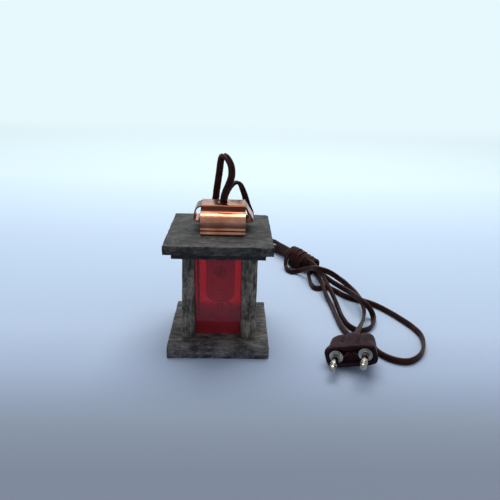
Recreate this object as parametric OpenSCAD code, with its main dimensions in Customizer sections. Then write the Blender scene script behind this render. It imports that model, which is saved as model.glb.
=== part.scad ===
// Miniature lantern of dark-stained wood with red panes, a screw-in bulb under a
// lift-off roof, a folded copper cap, and a twin flex that ends in a small plug.
// Millimetres. Origin: middle of the base's underside. +X right, -Y front, +Z up.

/* [Base and posts] */
// Side to side width of the base plate
base_w = 39; // [36:0.5:44]
// Front to back depth of the base plate
base_d = 38.4; // [36:0.2:42]
// Thickness of the base plate
base_t = 5.1; // [3:0.1:8]
// Side to side width of a left post
post_left_w = 5.1; // [4.5:0.1:6.5]
// Side to side width of a right post
post_right_w = 5.75; // [4.75:0.25:6.5]
// Front to back depth of a post
post_d = 6; // [5:0.5:7]
// Distance across the posts, side to side
frame_w = 28.8; // [27:0.2:31]
// Distance across the posts, front to back
frame_d = 28.1; // [27:0.1:30]
// How far the posts stand behind the middle of the base
frame_back = 1.35; // [0:0.05:2.5]
// Height of the posts above the base plate
post_h = 34.9; // [34.9:0.1:45]
// How much the front left post narrows towards its top
post_taper = 0.9; // [0:0.1:1.5]
// Thickness of one pane
pane_t = 1; // [0.6:0.1:1.5]
// How far a front or side pane sits behind the posts' outer faces
pane_inset = 3.7; // [2:0.1:4.5]

/* [Top plate and roof] */
// Side of the square top plate on the posts
top_plate_w = 34.2; // [32:0.2:38]
// Thickness of the top plate
top_plate_t = 2.7; // [2:0.1:4]
// Side to side width of the roof plate
roof_w = 39.3; // [39:0.1:46]
// Front to back depth of the roof plate
roof_d = 40.9; // [40.9:0.1:46]
// Thickness of the roof plate
roof_t = 3.4; // [2.5:0.1:5]
// Clearance where the roof and lampholder lift off
lift_gap = 0.05; // [0.02:0.01:0.2]

/* [Copper cap] */
// Thickness of the copper sheet
copper_t = 0.5; // [0.3:0.1:0.8]
// Height of the cap's flat top above the roof
cap_h = 10.2; // [8:0.1:14]
// Width of the front and back arms
cap_arm_w = 16.8; // [12:0.2:20]
// Width of the left and right arms
cap_wing_w = 9; // [6:0.5:12]
// Radius of the shoulder where the front or back arm rolls over
cap_roll_r = 3.4; // [2.6:0.1:4.4]
// Diameter of the hole that the flex leaves by
cap_hole_d = 3.2; // [2.9:0.1:5]

/* [Lamp] */
// Outer diameter of the lampholder
holder_d = 12; // [10:0.5:12.5]
// Pitch of the lampholder's ribs
rib_pitch = 1.34; // [1:0.02:2]
// Diameter of the bulb's globe
globe_d = 9.2; // [8:0.1:9.6]
// Diameter of the bulb's screw shell
screw_d = 5.3; // [5:0.1:5.4]

/* [Flex and plug] */
// Width of the flat twin flex
flex_d = 2.7; // [2.2:0.1:3]
// Width of the plug body at its front
plug_w = 19.2; // [17:0.2:22]
// Length of the plug body
plug_l = 11.5; // [11:0.5:16]
// Height of the plug body
plug_h = 8.5; // [7.5:0.1:10]
// Diameter of a plug pin
pin_d = 2.6; // [2.4:0.1:3]
// Distance between the two pins
pin_spacing = 11; // [9:0.5:12]
// Length of a pin ahead of the housing's front
pin_l = 8.6; // [7:0.1:12]

/* [Hidden] */

// Heights up the lantern
posts_top = base_t + post_h;
roof_z = posts_top + top_plate_t + lift_gap;
roof_top = roof_z + roof_t;
cap_top = roof_top + cap_h;

// Faces of the post frame
frame_x = frame_w / 2;
frame_front = frame_back - frame_d / 2;
frame_rear = frame_back + frame_d / 2;
pane_h = post_h;
overlap = 0.01;

// Lamp, on the frame's own axis
lamp_x = 0.2;
lamp_y = frame_back;
holder_r = holder_d / 2;
holder_z = 16.4;
holder_lip = 2.2;
bore_r = 3.3;
bore_top = 31;
disc_t = 1.6;
guide_r = 0.7;
rib_depth = 0.3;
rib_z = holder_z + holder_lip + 0.4;
rib_count = 7;
port_d = 5;
port_z = 30;
screw_r = screw_d / 2;
thread_gap = 0.06;
shell_z = holder_z + 1;
shell_h = 8.2;
globe_z = base_t + 1.1 + globe_d / 2;
globe_wall = 0.45;
neck_r = 2.5;
neck_z = holder_z + 0.4;
bulb_base_h = 6.2;
insulator_h = 0.9;
tip_h = 0.8;
contact_z = neck_z + bulb_base_h + insulator_h + tip_h;

// Copper cap, centred a little behind and right of the middle
cap_x = 1.2;
cap_y = 1.9;
cap_flat = 4.4;
cap_reach = 10.15;
cap_roll_h = 4.6;
cap_crimp_h = 2.3;

// Plug, pins forward and to the left, tipped onto its left edge by the stiff flex
plug_at = [50.27, -27.27, 2.46];
plug_turn = -20.4;
plug_tilt = -18;
pin_z = 4.3;
collar_d = 5.4;
collar_t = 1.8;
shank_l = 2.5;
waist_r = 0.9;
recess_d = 2.2;
entry_z = 5;
tip_r = 1.3;

// Wrapped turns of the hank, thick at the lantern's end and thin at the plug's
knot_at = [43.9, 70.4, 5.1];
knot_turn = -39.6;
knot_tilt = 7.3;
knot_l = 18.6;
knot_thick_r = 6;
knot_thin_r = 3.9;

// Routes of the flex, from the cap to the plug
TOP_ROUTE = [[1.2, 1.9, 56.4], [1.2, 2.1, 57.5], [1.5, 2.4, 59], [2.2, 2.8, 60.9], [3, 3.2, 62.8],
             [3.7, 3.5, 64.7], [4.1, 3.8, 66.5], [4.1, 4.1, 68.4], [3.7, 4.6, 70.2],
             [2.9, 5.4, 71.7], [1.9, 6.4, 72.9], [0.9, 7.5, 73.4], [0.2, 8.8, 72.6],
             [-0.3, 10, 70.6], [-0.7, 11.2, 67.3], [-1.3, 12.2, 63], [-1.9, 13, 58.8],
             [-2.4, 13.7, 54.8], [-3.3, 14.2, 50.8], [-2.7, 15, 48.6], [-0.8, 16, 47.6],
             [1.1, 16.9, 48.6], [1.8, 17.5, 51.4], [1.8, 17.8, 53.9], [2.5, 18, 56.1],
             [3.7, 18.2, 58.5], [5, 18.5, 60], [6.4, 18.8, 60.4], [7.6, 19.3, 59.4],
             [8.5, 19.9, 57.4], [9.5, 20.7, 54.6], [10.8, 21.7, 50], [12.2, 22.3, 47],
             [12.4, 22.4, 45.2], [12.4, 22.4, 43]];
DROP_ROUTE = [[12.4, 22.4, 43], [12.4, 22.4, 41], [12, 23.2, 15], [12, 25.8, 6], [12.3, 31, 2.2],
             [12.7, 40, 1.4], [13.4, 63, 1.4], [14.2, 84, 1.4], [16, 91.6, 1.4], [20, 96.4, 1.4],
             [24.6, 97.8, 1.4], [29.3, 97, 1.4], [32.8, 91.1, 1.8], [36.7, 84.2, 2],
             [40.2, 79.2, 2.3]];
NEAR_ROUTE = [[47.1, 67.4, 4.8], [49.7, 62.8, 4.5], [51.5, 56.6, 4.7], [53.2, 53, 3.8],
             [55.5, 48.5, 3.2], [57.5, 42.4, 3.8], [59.3, 36.1, 4.8], [60.9, 29.6, 6],
             [62.3, 23.3, 6.9], [63.7, 18.2, 7.3], [65.2, 15.2, 6.8], [66.8, 14.5, 5.2],
             [68.1, 14.3, 3.2], [68.6, 13.1, 1.6], [67.8, 9.6, 1.4], [66, 5.5, 1.4],
             [63.6, 2.5, 1.4], [60.7, 0.9, 1.4], [58.5, 1.2, 1.4], [56.8, 3.2, 1.4],
             [55.3, 6.4, 1.4], [54.4, 13.9, 1.4], [54.3, 22.6, 1.7], [53.7, 28.3, 3],
             [52.9, 32, 4.4], [52.2, 35.8, 5.4], [51.4, 40.8, 6.4], [50.6, 47.8, 6.9],
             [49.2, 54.7, 7.2], [47.2, 61.9, 7.4]];
BIGHT_ROUTE = [[39.9, 77.7, 5], [36.4, 83.2, 5], [32.6, 89.9, 4.8], [28.7, 95, 4.5],
             [25.4, 105.2, 2.2], [21.4, 109, 1.5], [16.8, 109.4, 1.4], [14.4, 106.4, 1.4],
             [16.2, 103.2, 2.4], [20.6, 102.6, 4.8], [28.8, 97.5, 6.8], [32.4, 89.4, 7.5],
             [36.3, 81.2, 7.9], [39.8, 73.1, 7.9]];
FAR_ROUTE = [[45.6, 73.6, 2.2], [48, 68.6, 1.9], [49.6, 63, 1.8], [50.1, 55.7, 2.6],
             [49.9, 46.3, 3.9], [50.1, 38.2, 4.2], [50.4, 33.6, 3], [51.1, 28.9, 1.8],
             [51.6, 22.7, 1.4], [51.8, 13.8, 1.4], [52.2, 5.8, 1.4], [53.1, 0.2, 1.4],
             [54.8, -4.6, 1.4], [58, -8.2, 1.4], [61.4, -11.2, 1.4], [63.5, -16.5, 1.4],
             [66.4, -19.8, 1.4], [69.8, -21.6, 1.4], [73.2, -21.7, 1.4], [77.2, -19.3, 1.4],
             [81, -14.6, 1.4], [83.6, -8.6, 1.4], [84.8, -1.9, 1.4], [83.5, 4.9, 1.4],
             [79.9, 13.3, 1.4], [76.6, 19.4, 1.4], [72.4, 25.4, 1.4], [68.7, 28.6, 1.4],
             [64.6, 30.8, 1.4], [62, 32.7, 1.4], [59.4, 35.2, 1.4], [57.1, 39, 1.4],
             [55.1, 42.1, 1.4], [53.1, 44, 1.4], [50.7, 43.8, 1.4], [48.3, 42.7, 1.4],
             [46.5, 43.4, 1.4], [45.5, 46.6, 1.4], [45.3, 51.6, 1.4], [45.7, 57.4, 1.4],
             [46.5, 63.5, 1.4], [48.2, 64.9, 1.6]];
LEAD_ROUTE = [[35.9, 71.8, 9.7], [34.4, 71.2, 6.3], [34.2, 69.2, 2.5], [35, 65.6, 1.6],
             [36.9, 63.4, 1.4], [39.8, 63.3, 1.8], [42.2, 61.1, 3.6], [44.7, 56.5, 6.4],
             [47, 50.3, 9.2], [49.9, 47, 10], [52.9, 46.5, 9.2], [55.8, 46.1, 7.8],
             [58.6, 45.4, 6.1], [61, 42.5, 5.2], [62.9, 38, 4.6], [64.5, 32.4, 4.3],
             [65.3, 26.5, 4.1], [65.3, 19.9, 3.8], [64.3, 13.4, 3.8], [62.2, 6.4, 4.4],
             [59.4, -0.5, 5.6], [56.4, -7.5, 6.8], [54, -12.7, 7.2], [52.7, -16.2, 7.2]];

// ---- Flex: a round tube swept along a route's own points ----
function unit(v) = v / norm(v);
function heading(p, i) = unit(p[min(i + 1, len(p) - 1)] - p[max(i - 1, 0)]);
function side_of(t) = unit(cross(t, abs(t[2]) > 0.9 ? [0, 1, 0] : [0, 0, 1]));
// Carries the first ring's side vector along the route without twist
function carried(p, i) = i == 0 ? side_of(heading(p, 0))
    : let (s = carried(p, i - 1), t = heading(p, i)) unit(s - t * (s * t));

module tube(p, d, sides = 8) {
    rings = [for (i = [0:len(p) - 1])
        let (t = heading(p, i), s = carried(p, i), u = cross(t, s))
        for (k = [0:sides - 1])
            p[i] + d / 2 * (s * cos(360 * (k + 0.5) / sides) + u * sin(360 * (k + 0.5) / sides))];
    last = (len(p) - 1) * sides;
    polyhedron(rings, concat(
        [[for (k = [0:sides - 1]) k]],
        [for (i = [0:len(p) - 2]) for (k = [0:sides - 1])
            let (a = i * sides + k, b = i * sides + (k + 1) % sides)
            each [[a, a + sides, b], [b, a + sides, b + sides]]],
        [[for (k = [sides - 1:-1:0]) last + k]]));
}

module flex(p) { color("#3a2a2c") tube(p, flex_d); }
module cord_top() { flex(TOP_ROUTE); }
module cord_drop() { flex(DROP_ROUTE); }
module cord_far_loop() { flex(FAR_ROUTE); }
module cord_bight() { flex(BIGHT_ROUTE); }
module cord_near_loop() { flex(NEAR_ROUTE); }
module cord_plug_lead() { flex(LEAD_ROUTE); }

// Wrapped turns of the hank: one closed solid with rounded ends
module cord_wrap() {
    edge_r = 1.3;
    middle_r = (knot_thick_r + knot_thin_r) / 2 + 0.35;
    color("#3a2a2c") translate(knot_at) rotate([0, 0, knot_turn]) rotate([0, 90 + knot_tilt, 0])
        rotate_extrude($fn = 40)
            polygon(concat([[0, -knot_l / 2]],
                [for (a = [-90:30:0]) [knot_thick_r - edge_r + edge_r * cos(a),
                                       -knot_l / 2 + edge_r + edge_r * sin(a)]],
                [[middle_r, 0]],
                [for (a = [0:30:90]) [knot_thin_r - edge_r + edge_r * cos(a),
                                      knot_l / 2 - edge_r + edge_r * sin(a)]],
                [[0, knot_l / 2]]));
}

// ---- Base, posts and panes ----
module base_plate() {
    color("#3d3d3f") translate([-base_w / 2, -base_d / 2, 0]) cube([base_w, base_d, base_t]);
}

// One post: its outline seen from the front, extruded front to back
module post(left, front, taper = 0) {
    w = left ? post_left_w : post_right_w;
    color("#3d3d3f")
    translate([left ? -frame_x : frame_x, front ? frame_front + post_d : frame_rear, base_t])
        mirror([left ? 0 : 1, 0, 0]) rotate([90, 0, 0])
            linear_extrude(post_d)
                polygon([[0, 0], [w, 0], [w, post_h], [taper, post_h]]);
}

module post_front_left() { post(true, true, post_taper); }
module post_front_right() { post(false, true); }
module post_back_left() { post(true, false); }
module post_back_right() { post(false, false); }

pane_x = -frame_x + post_left_w;
pane_w = frame_w - post_left_w - post_right_w;
pane_d = frame_d - 2 * post_d;
module pane(size, at) { color("#9c1f28", 0.6) translate(at) cube(size); }
module pane_front() {
    pane([pane_w, pane_t, pane_h], [pane_x, frame_front + pane_inset, base_t]);
}
module pane_back() {
    pane([pane_w, pane_t, pane_h], [pane_x, frame_rear - pane_t - 0.1, base_t]);
}
module pane_left() {
    pane([pane_t, pane_d, pane_h], [-frame_x + pane_inset, frame_front + post_d, base_t]);
}
module pane_right() {
    pane([pane_t, pane_d, pane_h],
         [frame_x - pane_inset - pane_t, frame_front + post_d, base_t]);
}

// ---- Top plate and roof ----
module top_plate() {
    color("#2b2b2d") difference() {
        translate([-top_plate_w / 2, -top_plate_w / 2, posts_top])
            cube([top_plate_w, top_plate_w, top_plate_t]);
        translate([lamp_x, lamp_y, posts_top - 1])
            cylinder(h = top_plate_t + 2, r = holder_r + 0.3, $fn = 64);
    }
}

module roof_plate() {
    corner_cut = 1.2;
    color("#424244") difference() {
        translate([0, 0, roof_z]) linear_extrude(roof_t) difference() {
            square([roof_w, roof_d], center = true);
            translate([roof_w / 2, roof_d / 2]) rotate(45)
                square(corner_cut * sqrt(2), center = true);
        }
        translate([lamp_x, lamp_y, roof_z - 1]) cylinder(h = roof_t + 2, r = 2.6, $fn = 48);
    }
}

// ---- Copper cap: one cross-shaped sheet, its four arms rolled down ----
// Outline of a bent sheet from the points along its middle
function sheet_normal(p, i) = let (t = unit(p[min(i + 1, len(p) - 1)] - p[max(i - 1, 0)]))
    [-t[1], t[0]];
function sheet_outline(p, t) = concat(
    [for (i = [0:len(p) - 1]) p[i] + sheet_normal(p, i) * t / 2],
    [for (i = [len(p) - 1:-1:0]) p[i] - sheet_normal(p, i) * t / 2]);

cap_mid = cap_h - copper_t / 2;
roll_mid = cap_roll_r - copper_t / 2;
// Front arm, [distance forward, height above the roof]: slope, shoulder, face, crimp, foot
roll_at = [cap_reach - roll_mid, cap_roll_h];
front_arm = concat(
    [[cap_flat, cap_mid], [cap_flat + 0.8, cap_mid - 0.55], [cap_flat + 1.8, cap_mid - 1.6]],
    [for (a = [90:-10:0]) roll_at + roll_mid * [cos(a), sin(a)]],
    [[cap_reach, cap_crimp_h], [cap_reach - 0.35, cap_crimp_h - 0.55],
     [cap_reach - 1.9, cap_crimp_h - 0.9], [cap_reach - 2.25, cap_crimp_h - 1.35],
     [cap_reach - 2.5, copper_t / 2], [cap_reach - 4.2, copper_t / 2]]);
// Right wing: a flat slope out and down, with its lip folded in
right_wing = [[8, cap_mid], [8.5, cap_mid - 0.35], [8.8, cap_mid - 0.9], [11.1, 5.2],
              [11.3, 4.6], [10.9, 4.3], [8.6, 3.9]];
// Left wing: steeper and rounder than the right one
left_wing = [[8, cap_mid], [9.7, cap_mid - 0.5], [10.7, cap_mid - 1.6], [11, 6.8], [11.2, 4.9],
             [10.8, 4.4], [9, 3.8]];

module arm(p, w) {
    rotate([90, 0, 0]) translate([0, 0, -w / 2]) linear_extrude(w)
        polygon(sheet_outline(p, copper_t));
}

module copper_cap() {
    top_half_w = 8.3;
    color("#b8694a") translate([cap_x, cap_y, roof_top]) difference() {
        union() {
            translate([-cap_arm_w / 2, -cap_flat, cap_h - copper_t])
                cube([cap_arm_w, 2 * cap_flat, copper_t]);
            translate([-top_half_w, -cap_wing_w / 2, cap_h - copper_t])
                cube([2 * top_half_w, cap_wing_w, copper_t]);
            for (s = [-90, 90]) rotate([0, 0, s]) arm(front_arm, cap_arm_w);
            arm(right_wing, cap_wing_w);
            rotate([0, 0, 180]) arm(left_wing, cap_wing_w);
        }
        translate([0, 0, cap_h - 2]) cylinder(h = 4, d = cap_hole_d, $fn = 40);
    }
}

// ---- Wiring inside the cap ----
tail_h = 5;
tail_r = 2.4;
tail_z = cap_top - tail_h;
// End of the flex, with the knot that keeps it from pulling out
module cable_tail() {
    color("#3a2a2c") translate([cap_x, cap_y, tail_z]) union() {
        cylinder(h = tail_h, d = flex_d, $fn = 32);
        sphere(r = tail_r, $fn = 32);
    }
}

module lamp_wires() {
    wire_d = 1;
    wire_x = 1.3;
    color("#7a3b30") for (s = [-1, 1])
        tube([[cap_x + s * wire_x, cap_y, tail_z - tail_r * 0.7],
              [lamp_x + s * wire_x, lamp_y, roof_top - 0.5],
              [lamp_x + s * wire_x, lamp_y, roof_z - 2],
              [lamp_x + s * wire_x, lamp_y, bore_top + disc_t]], wire_d);
}

// ---- Lampholder and bulb, on one upright axis ----
module turned(points, facets = 64) {
    translate([lamp_x, lamp_y, 0]) rotate_extrude($fn = facets) polygon(points);
}

module lampholder_body() {
    wire_bore_r = 2.2;
    color("#d9d2c4") difference() {
        turned(concat(
            [[bore_r, holder_z], [holder_r - holder_lip, holder_z]],
            [for (a = [-60:30:0])
                [holder_r - holder_lip + holder_lip * cos(a), holder_z + holder_lip + holder_lip * sin(a)]],
            [for (i = [0:rib_count - 1]) each
                [[holder_r, rib_z + i * rib_pitch],
                 [holder_r - rib_depth, rib_z + (i + 0.35) * rib_pitch],
                 [holder_r - rib_depth, rib_z + (i + 0.65) * rib_pitch]]],
            [[holder_r, rib_z + rib_count * rib_pitch], [holder_r, roof_z],
             [wire_bore_r, roof_z], [wire_bore_r, bore_top + 3], [bore_r, bore_top + 3]]));
        translate([lamp_x, lamp_y, port_z]) rotate([90, 0, 0])
            cylinder(h = holder_r + 1, d = port_d, $fn = 40);
    }
}

// Brass screw insert that takes the bulb
module lampholder_shell() {
    r_in = screw_r + thread_gap;
    color("#b08d4a") turned([[r_in, shell_z], [r_in, shell_z + shell_h],
        [bore_r, shell_z + shell_h], [bore_r, shell_z]]);
}

// Insulating disc that carries the centre contact's guide and both terminals
module terminal_disc() {
    color("#2a211e") turned([[guide_r + 0.05, bore_top], [bore_r, bore_top],
                             [bore_r, bore_top + disc_t], [guide_r + 0.05, bore_top + disc_t]]);
}

// Sprung plunger that follows the bulb's tip
module centre_contact() {
    head_r = 1.5;
    color("#c2a25a") turned([[0, contact_z], [head_r, contact_z], [head_r, contact_z + 0.6],
        [guide_r, contact_z + 0.9], [guide_r, bore_top + disc_t + 0.8],
        [0, bore_top + disc_t + 0.8]], 40);
}

module bulb_shell() {
    groove = 0.22;
    turns = 5;
    color("#c9b27a") turned(concat(
        [[screw_r - 0.4, neck_z], [screw_r, neck_z]],
        [for (i = [0:turns - 1]) each [[screw_r, neck_z + 0.5 + i],
            [screw_r - groove, neck_z + 0.85 + i], [screw_r - groove, neck_z + 1.15 + i]]],
        [[screw_r, neck_z + turns + 0.5], [screw_r - 0.5, neck_z + bulb_base_h],
         [screw_r - 0.9, neck_z + bulb_base_h], [screw_r - 0.4, neck_z + turns]]));
}

module bulb_glass() {
    globe_r = globe_d / 2;
    join = asin(neck_r / globe_r);
    color("#e8e8ea", 0.4) turned(concat(
        [for (a = [-90:10:90 - join - 6]) globe_r * [cos(a), sin(a)] + [0, globe_z]],
        [[neck_r - 0.05, globe_z + globe_r + 0.1], [neck_r - 0.35, neck_z],
         [neck_r - 0.35, neck_z + 3], [neck_r - 0.35 - globe_wall, neck_z + 3],
         [neck_r - 0.35 - globe_wall, neck_z], [neck_r - 0.05 - globe_wall, globe_z + globe_r]],
        [for (a = [90 - join - 10:-10:-90])
            (globe_r - globe_wall) * [cos(a), sin(a)] + [0, globe_z]]));
}

module bulb_insulator() {
    z = neck_z + bulb_base_h;
    color("#1c1c20") turned([[0, z], [screw_r - 0.9, z], [1.1, z + insulator_h],
                             [0, z + insulator_h]], 40);
}

module bulb_tip() {
    z = neck_z + bulb_base_h + insulator_h;
    color("#b9bcc0") turned([[0, z], [1, z], [0.8, z + 0.5], [0.45, z + tip_h], [0, z + tip_h]], 32);
}

// Glass bead that holds the two support wires apart
module bulb_bead() {
    color("#d8e4e8") translate([lamp_x, lamp_y, globe_z + 2.6]) rotate([0, 90, 0])
        cylinder(h = 2.8, d = 1, center = true, $fn = 24);
}

module bulb_filament() {
    lead_x = 0.9;
    lead_d = 0.3;
    color("#8d8f94") translate([lamp_x, lamp_y, 0]) {
        for (s = [-1, 1]) {
            translate([s * lead_x, 0, globe_z - 0.2])
                cylinder(h = 2.3, d = lead_d, $fn = 16);
            translate([s * lead_x, 0, globe_z + 3.1])
                cylinder(h = neck_z + 2 - globe_z - 3.1, d = lead_d, $fn = 16);
        }
        translate([0, 0, globe_z - 0.2]) rotate([0, 90, 0])
            cylinder(h = 2 * lead_x + lead_d, d = 0.4, center = true, $fn = 16);
    }
}

// ---- Plug ----
module at_plug() { translate(plug_at) rotate([0, plug_tilt, plug_turn]) children(); }

// Plan of the housing: full width in front, narrower and rounded behind
module plug_plan(grow = 0) {
    half = plug_w / 2 + grow;
    corner_r = 3.6;
    back_half = half - 1.1;
    polygon(concat([[-half, 0], [half, 0], [half, 2.2]],
        [for (a = [0:15:90])
            [back_half - corner_r + corner_r * cos(a), plug_l - corner_r + corner_r * sin(a)]],
        [for (a = [90:15:180])
            [-back_half + corner_r + corner_r * cos(a), plug_l - corner_r + corner_r * sin(a)]],
        [[-half, 2.2]]));
}

// Rounded upright slab that trims the housing's long edges
module plug_section() {
    edge_r = 2;
    half = plug_w / 2 + 0.01;
    translate([0, plug_l + 1, 0]) rotate([90, 0, 0]) linear_extrude(plug_l + 2)
        polygon(concat(
            [for (a = [0:30:90]) [half - edge_r + edge_r * cos(a), plug_h - edge_r + edge_r * sin(a)]],
            [for (a = [90:30:180]) [-half + edge_r + edge_r * cos(a), plug_h - edge_r + edge_r * sin(a)]],
            [for (a = [180:30:270]) [-half + edge_r + edge_r * cos(a), edge_r + edge_r * sin(a)]],
            [for (a = [270:30:360]) [half - edge_r + edge_r * cos(a), edge_r + edge_r * sin(a)]]));
}

module plug_housing() {
    recess_w = plug_w - 3;
    recess_h = plug_h - 3;
    groove_x = 2.9;
    groove_d = 1.3;
    color("#41363a") at_plug() difference() {
        intersection() {
            linear_extrude(plug_h) plug_plan();
            plug_section();
        }
        translate([-recess_w / 2, -1, pin_z - recess_h / 2]) cube([recess_w, recess_d + 1, recess_h]);
        for (s = [-1, 1]) {
            translate([s * pin_spacing / 2, -1, pin_z]) rotate([-90, 0, 0])
                cylinder(h = recess_d + shank_l + 1, d = pin_d, $fn = 40);
            translate([s * groove_x, 5.2, plug_h]) rotate([-90, 0, 0])
                cylinder(h = plug_l, d = groove_d, $fn = 24);
        }
    }
}

// Turned pin: shank in the housing, round collar, shaft, waist and rounded tip
module plug_pin(s) {
    color("#b9bbc0") at_plug() translate([s * pin_spacing / 2, 0, pin_z]) rotate([90, 0, 0])
        rotate_extrude($fn = 40) polygon(concat(
            [[0, -recess_d - shank_l], [pin_d / 2, -recess_d - shank_l], [pin_d / 2, -recess_d],
             [collar_d / 2, -recess_d], [collar_d / 2, -recess_d + collar_t],
             [pin_d / 2, -recess_d + collar_t], [pin_d / 2, pin_l - 3.2],
             [waist_r, pin_l - 2.9], [waist_r, pin_l - 2.3]],
            [for (a = [-45:15:90]) [tip_r * cos(a), pin_l - tip_r + tip_r * sin(a)]]));
}
module plug_pin_left() { plug_pin(-1); }
module plug_pin_right() { plug_pin(1); }

// The two bared conductors that cross the recess to the collars
module plug_wires() {
    wire_d = 0.9;
    color("#5b3a32") at_plug() for (s = [-1, 1])
        tube([[s * 0.7, recess_d - 0.02, pin_z + 0.6], [s * 0.8, 1.7, pin_z + 1], [s * 1.6, 1.2, pin_z + 0.4],
              [s * 2.6, 1.6, pin_z - 0.5]], wire_d);
}

base_plate();
post_front_left();
post_front_right();
post_back_left();
post_back_right();
pane_front();
pane_back();
pane_left();
pane_right();
top_plate();
roof_plate();
copper_cap();
cable_tail();
lamp_wires();
lampholder_body();
lampholder_shell();
terminal_disc();
centre_contact();
bulb_shell();
bulb_glass();
bulb_insulator();
bulb_tip();
bulb_bead();
bulb_filament();
cord_top();
cord_drop();
cord_far_loop();
cord_bight();
cord_near_loop();
cord_wrap();
cord_plug_lead();
plug_housing();
plug_pin_left();
plug_pin_right();
plug_wires();
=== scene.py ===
# Miniature lantern of stained wood with red panes, a screw bulb, a folded copper
# cap and a twin flex that ends in a small plug. Sizes are in mm, in the solids' own
# frame, and MM turns them to metres.
import math

import bmesh
import bpy
import numpy as np
from mathutils import Matrix, Vector, noise


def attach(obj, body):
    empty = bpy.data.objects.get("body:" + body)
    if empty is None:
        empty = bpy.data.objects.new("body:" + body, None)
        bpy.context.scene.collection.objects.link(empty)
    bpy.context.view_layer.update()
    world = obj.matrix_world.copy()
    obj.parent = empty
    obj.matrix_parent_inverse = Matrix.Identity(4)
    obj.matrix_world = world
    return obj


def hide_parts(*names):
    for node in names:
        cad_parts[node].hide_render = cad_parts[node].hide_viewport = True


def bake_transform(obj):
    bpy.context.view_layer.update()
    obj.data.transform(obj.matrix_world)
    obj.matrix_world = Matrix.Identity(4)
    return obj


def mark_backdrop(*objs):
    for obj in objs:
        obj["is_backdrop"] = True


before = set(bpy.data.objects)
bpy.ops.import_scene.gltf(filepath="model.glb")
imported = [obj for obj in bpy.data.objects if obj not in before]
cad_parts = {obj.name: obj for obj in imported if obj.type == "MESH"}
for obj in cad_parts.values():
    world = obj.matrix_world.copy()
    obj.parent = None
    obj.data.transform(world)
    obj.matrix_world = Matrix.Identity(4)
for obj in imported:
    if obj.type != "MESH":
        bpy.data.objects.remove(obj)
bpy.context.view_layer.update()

MM = 0.001

# ---- Camera ----
# A phone held above and in front of the lantern, looking down on it and a
# touch tilted, close enough for strong perspective.
def aim_camera(place, yaw, pitch, roll, lens):
    """The camera at a place in mm: yaw to the right of +Y, pitch down and roll, in degrees."""
    yaw, pitch, roll = (math.radians(a) for a in (yaw, pitch, roll))
    forward = Vector((math.sin(yaw) * math.cos(pitch), math.cos(yaw) * math.cos(pitch),
                      -math.sin(pitch)))
    level = Vector((math.cos(yaw), -math.sin(yaw), 0))
    above = level.cross(forward)
    right = math.cos(roll) * level + math.sin(roll) * above
    up = math.cos(roll) * above - math.sin(roll) * level
    data = bpy.data.cameras.new("camera")
    data.lens, data.sensor_width = lens, 36
    data.clip_start = 0.005
    camera = bpy.data.objects.new("camera", data)
    camera.matrix_world = Matrix.Translation(Vector(place) * MM) @ Matrix(
        (right, up, -forward)).transposed().to_4x4()
    bpy.context.scene.collection.objects.link(camera)
    bpy.context.scene.camera = camera


aim_camera((5.93, -177.12, 104.5), yaw=1.888, pitch=20.675, roll=1.714, lens=34.56)

# ---- Flex ----
# One length of flat twin lead: two stranded copper cores under dark brown vinyl.
# It keeps the set it was packed with: loops over the cap, a drop behind the
# lantern, a hank with turns wound round it, and a lead to the plug.
def linear(text):
    """An sRGB colour written as #rrggbb, as the linear colour that a shader takes."""
    parts = [int(text[i:i + 2], 16) / 255 for i in (1, 3, 5)]
    return [c / 12.92 if c <= 0.04045 else ((c + 0.055) / 1.055) ** 2.4 for c in parts] + [1]


def new_material(name, **sockets):
    mat = bpy.data.materials.new(name)
    mat.use_nodes = True
    for key, value in sockets.items():
        shader_of(mat).inputs[key.replace("_", " ")].default_value = value
    return mat


def shader_of(mat):
    return mat.node_tree.nodes["Principled BSDF"]


def add_node(mat, kind, inputs=None, out=0, to=None, stops=None, **settings):
    """Adds a shader node with its settings; its inputs are set to values or linked to
    sockets, stops fill a colour ramp, and the output named by out is linked on to to."""
    node = mat.node_tree.nodes.new("ShaderNode" + kind)
    for key, value in settings.items():
        setattr(node, key, value)
    for key, value in (inputs or {}).items():
        if isinstance(value, bpy.types.NodeSocket):
            mat.node_tree.links.new(value, node.inputs[key])
        else:
            node.inputs[key].default_value = value
    if stops:
        marks = node.color_ramp.elements
        while len(marks) < len(stops):
            marks.new(0.5)
        for mark, (position, colour) in zip(marks, stops):
            mark.position, mark.color = position, linear(colour)
    if to:
        mat.node_tree.links.new(node.outputs[out], shader_of(mat).inputs[to])
    return node.outputs[out]


def wear(mat, colours, patch_mm, gloss, gloss_mm, texture_mm, depth_mm, stretch=(1, 1, 1)):
    """Real handling marks on a plain material: patches of colour, uneven gloss and a fine
    texture, each with features of its own size, drawn out along an axis by stretch."""
    place = add_node(mat, "Mapping", {"Vector": add_node(mat, "TexCoord", out="Object"),
                                      "Scale": stretch})
    patches, shine, relief = (
        add_node(mat, "TexNoise", {"Vector": place, "Scale": 1 / (size * MM), "Detail": 4})
        for size in (patch_mm, gloss_mm, texture_mm))
    add_node(mat, "ValToRGB", {"Fac": patches}, stops=colours, to="Base Color")
    add_node(mat, "MapRange", {"Value": shine, "From Min": 0.3, "From Max": 0.7,
                               "To Min": gloss[0], "To Max": gloss[1]}, to="Roughness")
    add_node(mat, "Bump", {"Height": relief, "Strength": 0.4, "Distance": depth_mm * MM},
             to="Normal")


def new_piece(name, verts, faces, mat, smooth=True):
    mesh = bpy.data.meshes.new(name)
    mesh.from_pydata([tuple(v) for v in verts], [], faces)
    mesh.materials.append(mat)
    for face in mesh.polygons:
        face.use_smooth = smooth
    mesh.update()
    piece = bpy.data.objects.new(name, mesh)
    bpy.context.scene.collection.objects.link(piece)
    return piece


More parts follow.
